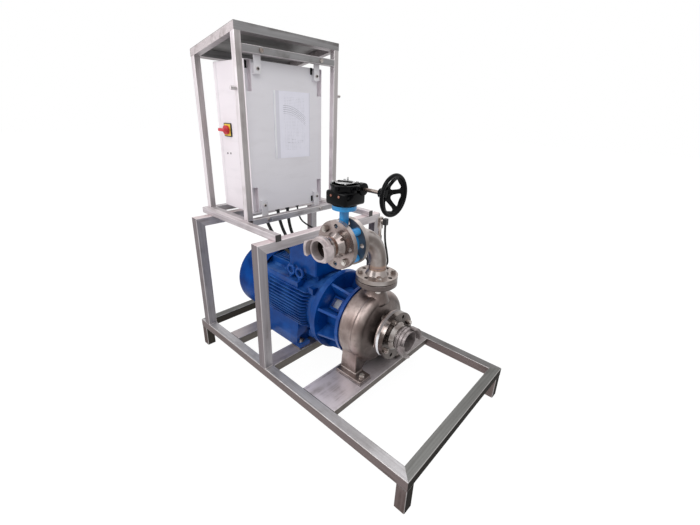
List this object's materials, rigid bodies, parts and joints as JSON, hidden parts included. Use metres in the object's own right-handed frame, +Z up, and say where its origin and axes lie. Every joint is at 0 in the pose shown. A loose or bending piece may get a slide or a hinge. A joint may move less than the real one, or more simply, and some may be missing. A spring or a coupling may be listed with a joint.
{
  "type": "centrifugal pump",
  "caption": "close-coupled centrifugal pump with flanged electric motor on a tube skid, with a worm-geared butterfly valve on the discharge and a control cabinet in a cage above",
  "frame": {"origin": "under the middle of the skid, on the floor plane", "axes": "X along the pump shaft towards the suction, Y across the skid away from the discharge mouth, Z up"},
  "size_m": [1.4, 0.8, 1.58],
  "materials": {
    "frame_steel": "satin brushed stainless tube",
    "cabinet_paint": "light grey powder coat",
    "dark_plastic": "black moulded plastic",
    "zinc": "bright machined steel",
    "grey_plastic": "grey moulded plastic",
    "yellow_plastic": "yellow moulded plastic",
    "red_plastic": "red moulded plastic",
    "paper": "white sheet in a clear sleeve",
    "cable": "black cable jacket",
    "blue_paint": "deep blue enamel on cast iron",
    "core_steel": "laminated core steel",
    "cast_stainless": "bead-blasted cast stainless",
    "seal_carbon": "dark seal material",
    "white_gasket": "white fluoropolymer ring",
    "pipe_stainless": "welded stainless pipe and fittings",
    "valve_paint": "sky blue epoxy",
    "rubber_liner": "black rubber",
    "black_paint": "black enamel",
    "bolt_steel": "stainless fasteners"
  },
  "bodies": {
    "skid": {"side_tubes": "frame_steel", "end_tubes": "frame_steel", "base_feet": "frame_steel", "motor_beams": "frame_steel", "pump_plate": "frame_steel", "portal_posts": "frame_steel", "portal_beams": "frame_steel", "cabinet_rails": "frame_steel", "cage_base": "frame_steel", "cage_posts": "frame_steel", "cage_top": "frame_steel", "roof_sheet": "frame_steel", "cabinet_shell": "cabinet_paint", "mounting_plate": "zinc", "motor_drive": "grey_plastic", "switchgear": "grey_plastic", "cabinet_straps": "frame_steel", "switch_plate": "yellow_plastic", "document_sleeve": "paper", "cable_fittings": "dark_plastic", "motor_cable_1": "cable", "motor_cable_2": "cable", "motor_cable_3": "cable", "sensor_cable": "cable", "motor_housing": "blue_paint", "motor_stator": "core_steel", "drive_end_shield": "blue_paint", "rear_end_shield": "blue_paint", "fan_cover": "blue_paint", "motor_bearings": "zinc", "terminal_box": "blue_paint", "terminal_lid": "blue_paint", "lifting_eyes": "blue_paint", "adapter": "blue_paint", "casing": "cast_stainless", "casing_cover": "cast_stainless", "suction_gasket": "white_gasket", "suction_nozzle": "pipe_stainless", "discharge_gasket": "seal_carbon", "discharge_elbow": "pipe_stainless", "pressure_sensor": "pipe_stainless", "valve_body": "valve_paint", "valve_liner": "rubber_liner", "gearbox": "black_paint", "outlet_nozzle": "pipe_stainless", "flange_bolts": "bolt_steel", "machine_bolts": "bolt_steel", "adapter_screws": "blue_paint"},
    "rotor": {"motor_rotor": "core_steel", "motor_fan": "dark_plastic", "pump_shaft": "zinc", "impeller": "cast_stainless", "shaft_seal": "seal_carbon"},
    "valve_disc": {"valve_disc": "pipe_stainless"},
    "handwheel": {"handwheel": "black_paint", "worm_shaft": "zinc"},
    "cabinet_door": {"cabinet_door": "cabinet_paint"},
    "door_lock_lower": {"door_lock_lower": "dark_plastic"},
    "door_lock_upper": {"door_lock_upper": "dark_plastic"},
    "main_switch": {"switch_handle": "red_plastic"}
  },
  "joints": [
    {"name": "rotor_spin", "type": "hinge", "parent": "skid", "child": "rotor", "pos_m": [0, 0, 0.36], "axis": [1, 0, 0], "continuous": true},
    {"name": "disc_turn", "type": "hinge", "parent": "skid", "child": "valve_disc", "pos_m": [0.214, -0.222, 0.816], "axis": [0, 0, 1], "range_deg": [0, 90]},
    {"name": "handwheel_turn", "type": "hinge", "parent": "skid", "child": "handwheel", "pos_m": [0.3, -0.181, 1.02], "axis": [1, 0, 0], "range_deg": [0, 2160]},
    {"name": "door_swing", "type": "hinge", "parent": "skid", "child": "cabinet_door", "pos_m": [-0.60875, 0.226, 1.132], "axis": [0, 0, 1], "range_deg": [-90, 0]},
    {"name": "lower_lock_turn", "type": "hinge", "parent": "cabinet_door", "child": "door_lock_lower", "pos_m": [-0.63, -0.19, 0.972], "axis": [1, 0, 0], "range_deg": [0, 90]},
    {"name": "upper_lock_turn", "type": "hinge", "parent": "cabinet_door", "child": "door_lock_upper", "pos_m": [-0.63, -0.19, 1.292], "axis": [1, 0, 0], "range_deg": [0, 90]},
    {"name": "switch_turn", "type": "hinge", "parent": "skid", "child": "main_switch", "pos_m": [-0.543, -0.23, 1.174], "axis": [0, 1, 0], "range_deg": [0, 90]}
  ],
  "couplings": [
    {"joint": "handwheel_turn", "follows": "disc_turn", "ratio": 24}
  ]
}
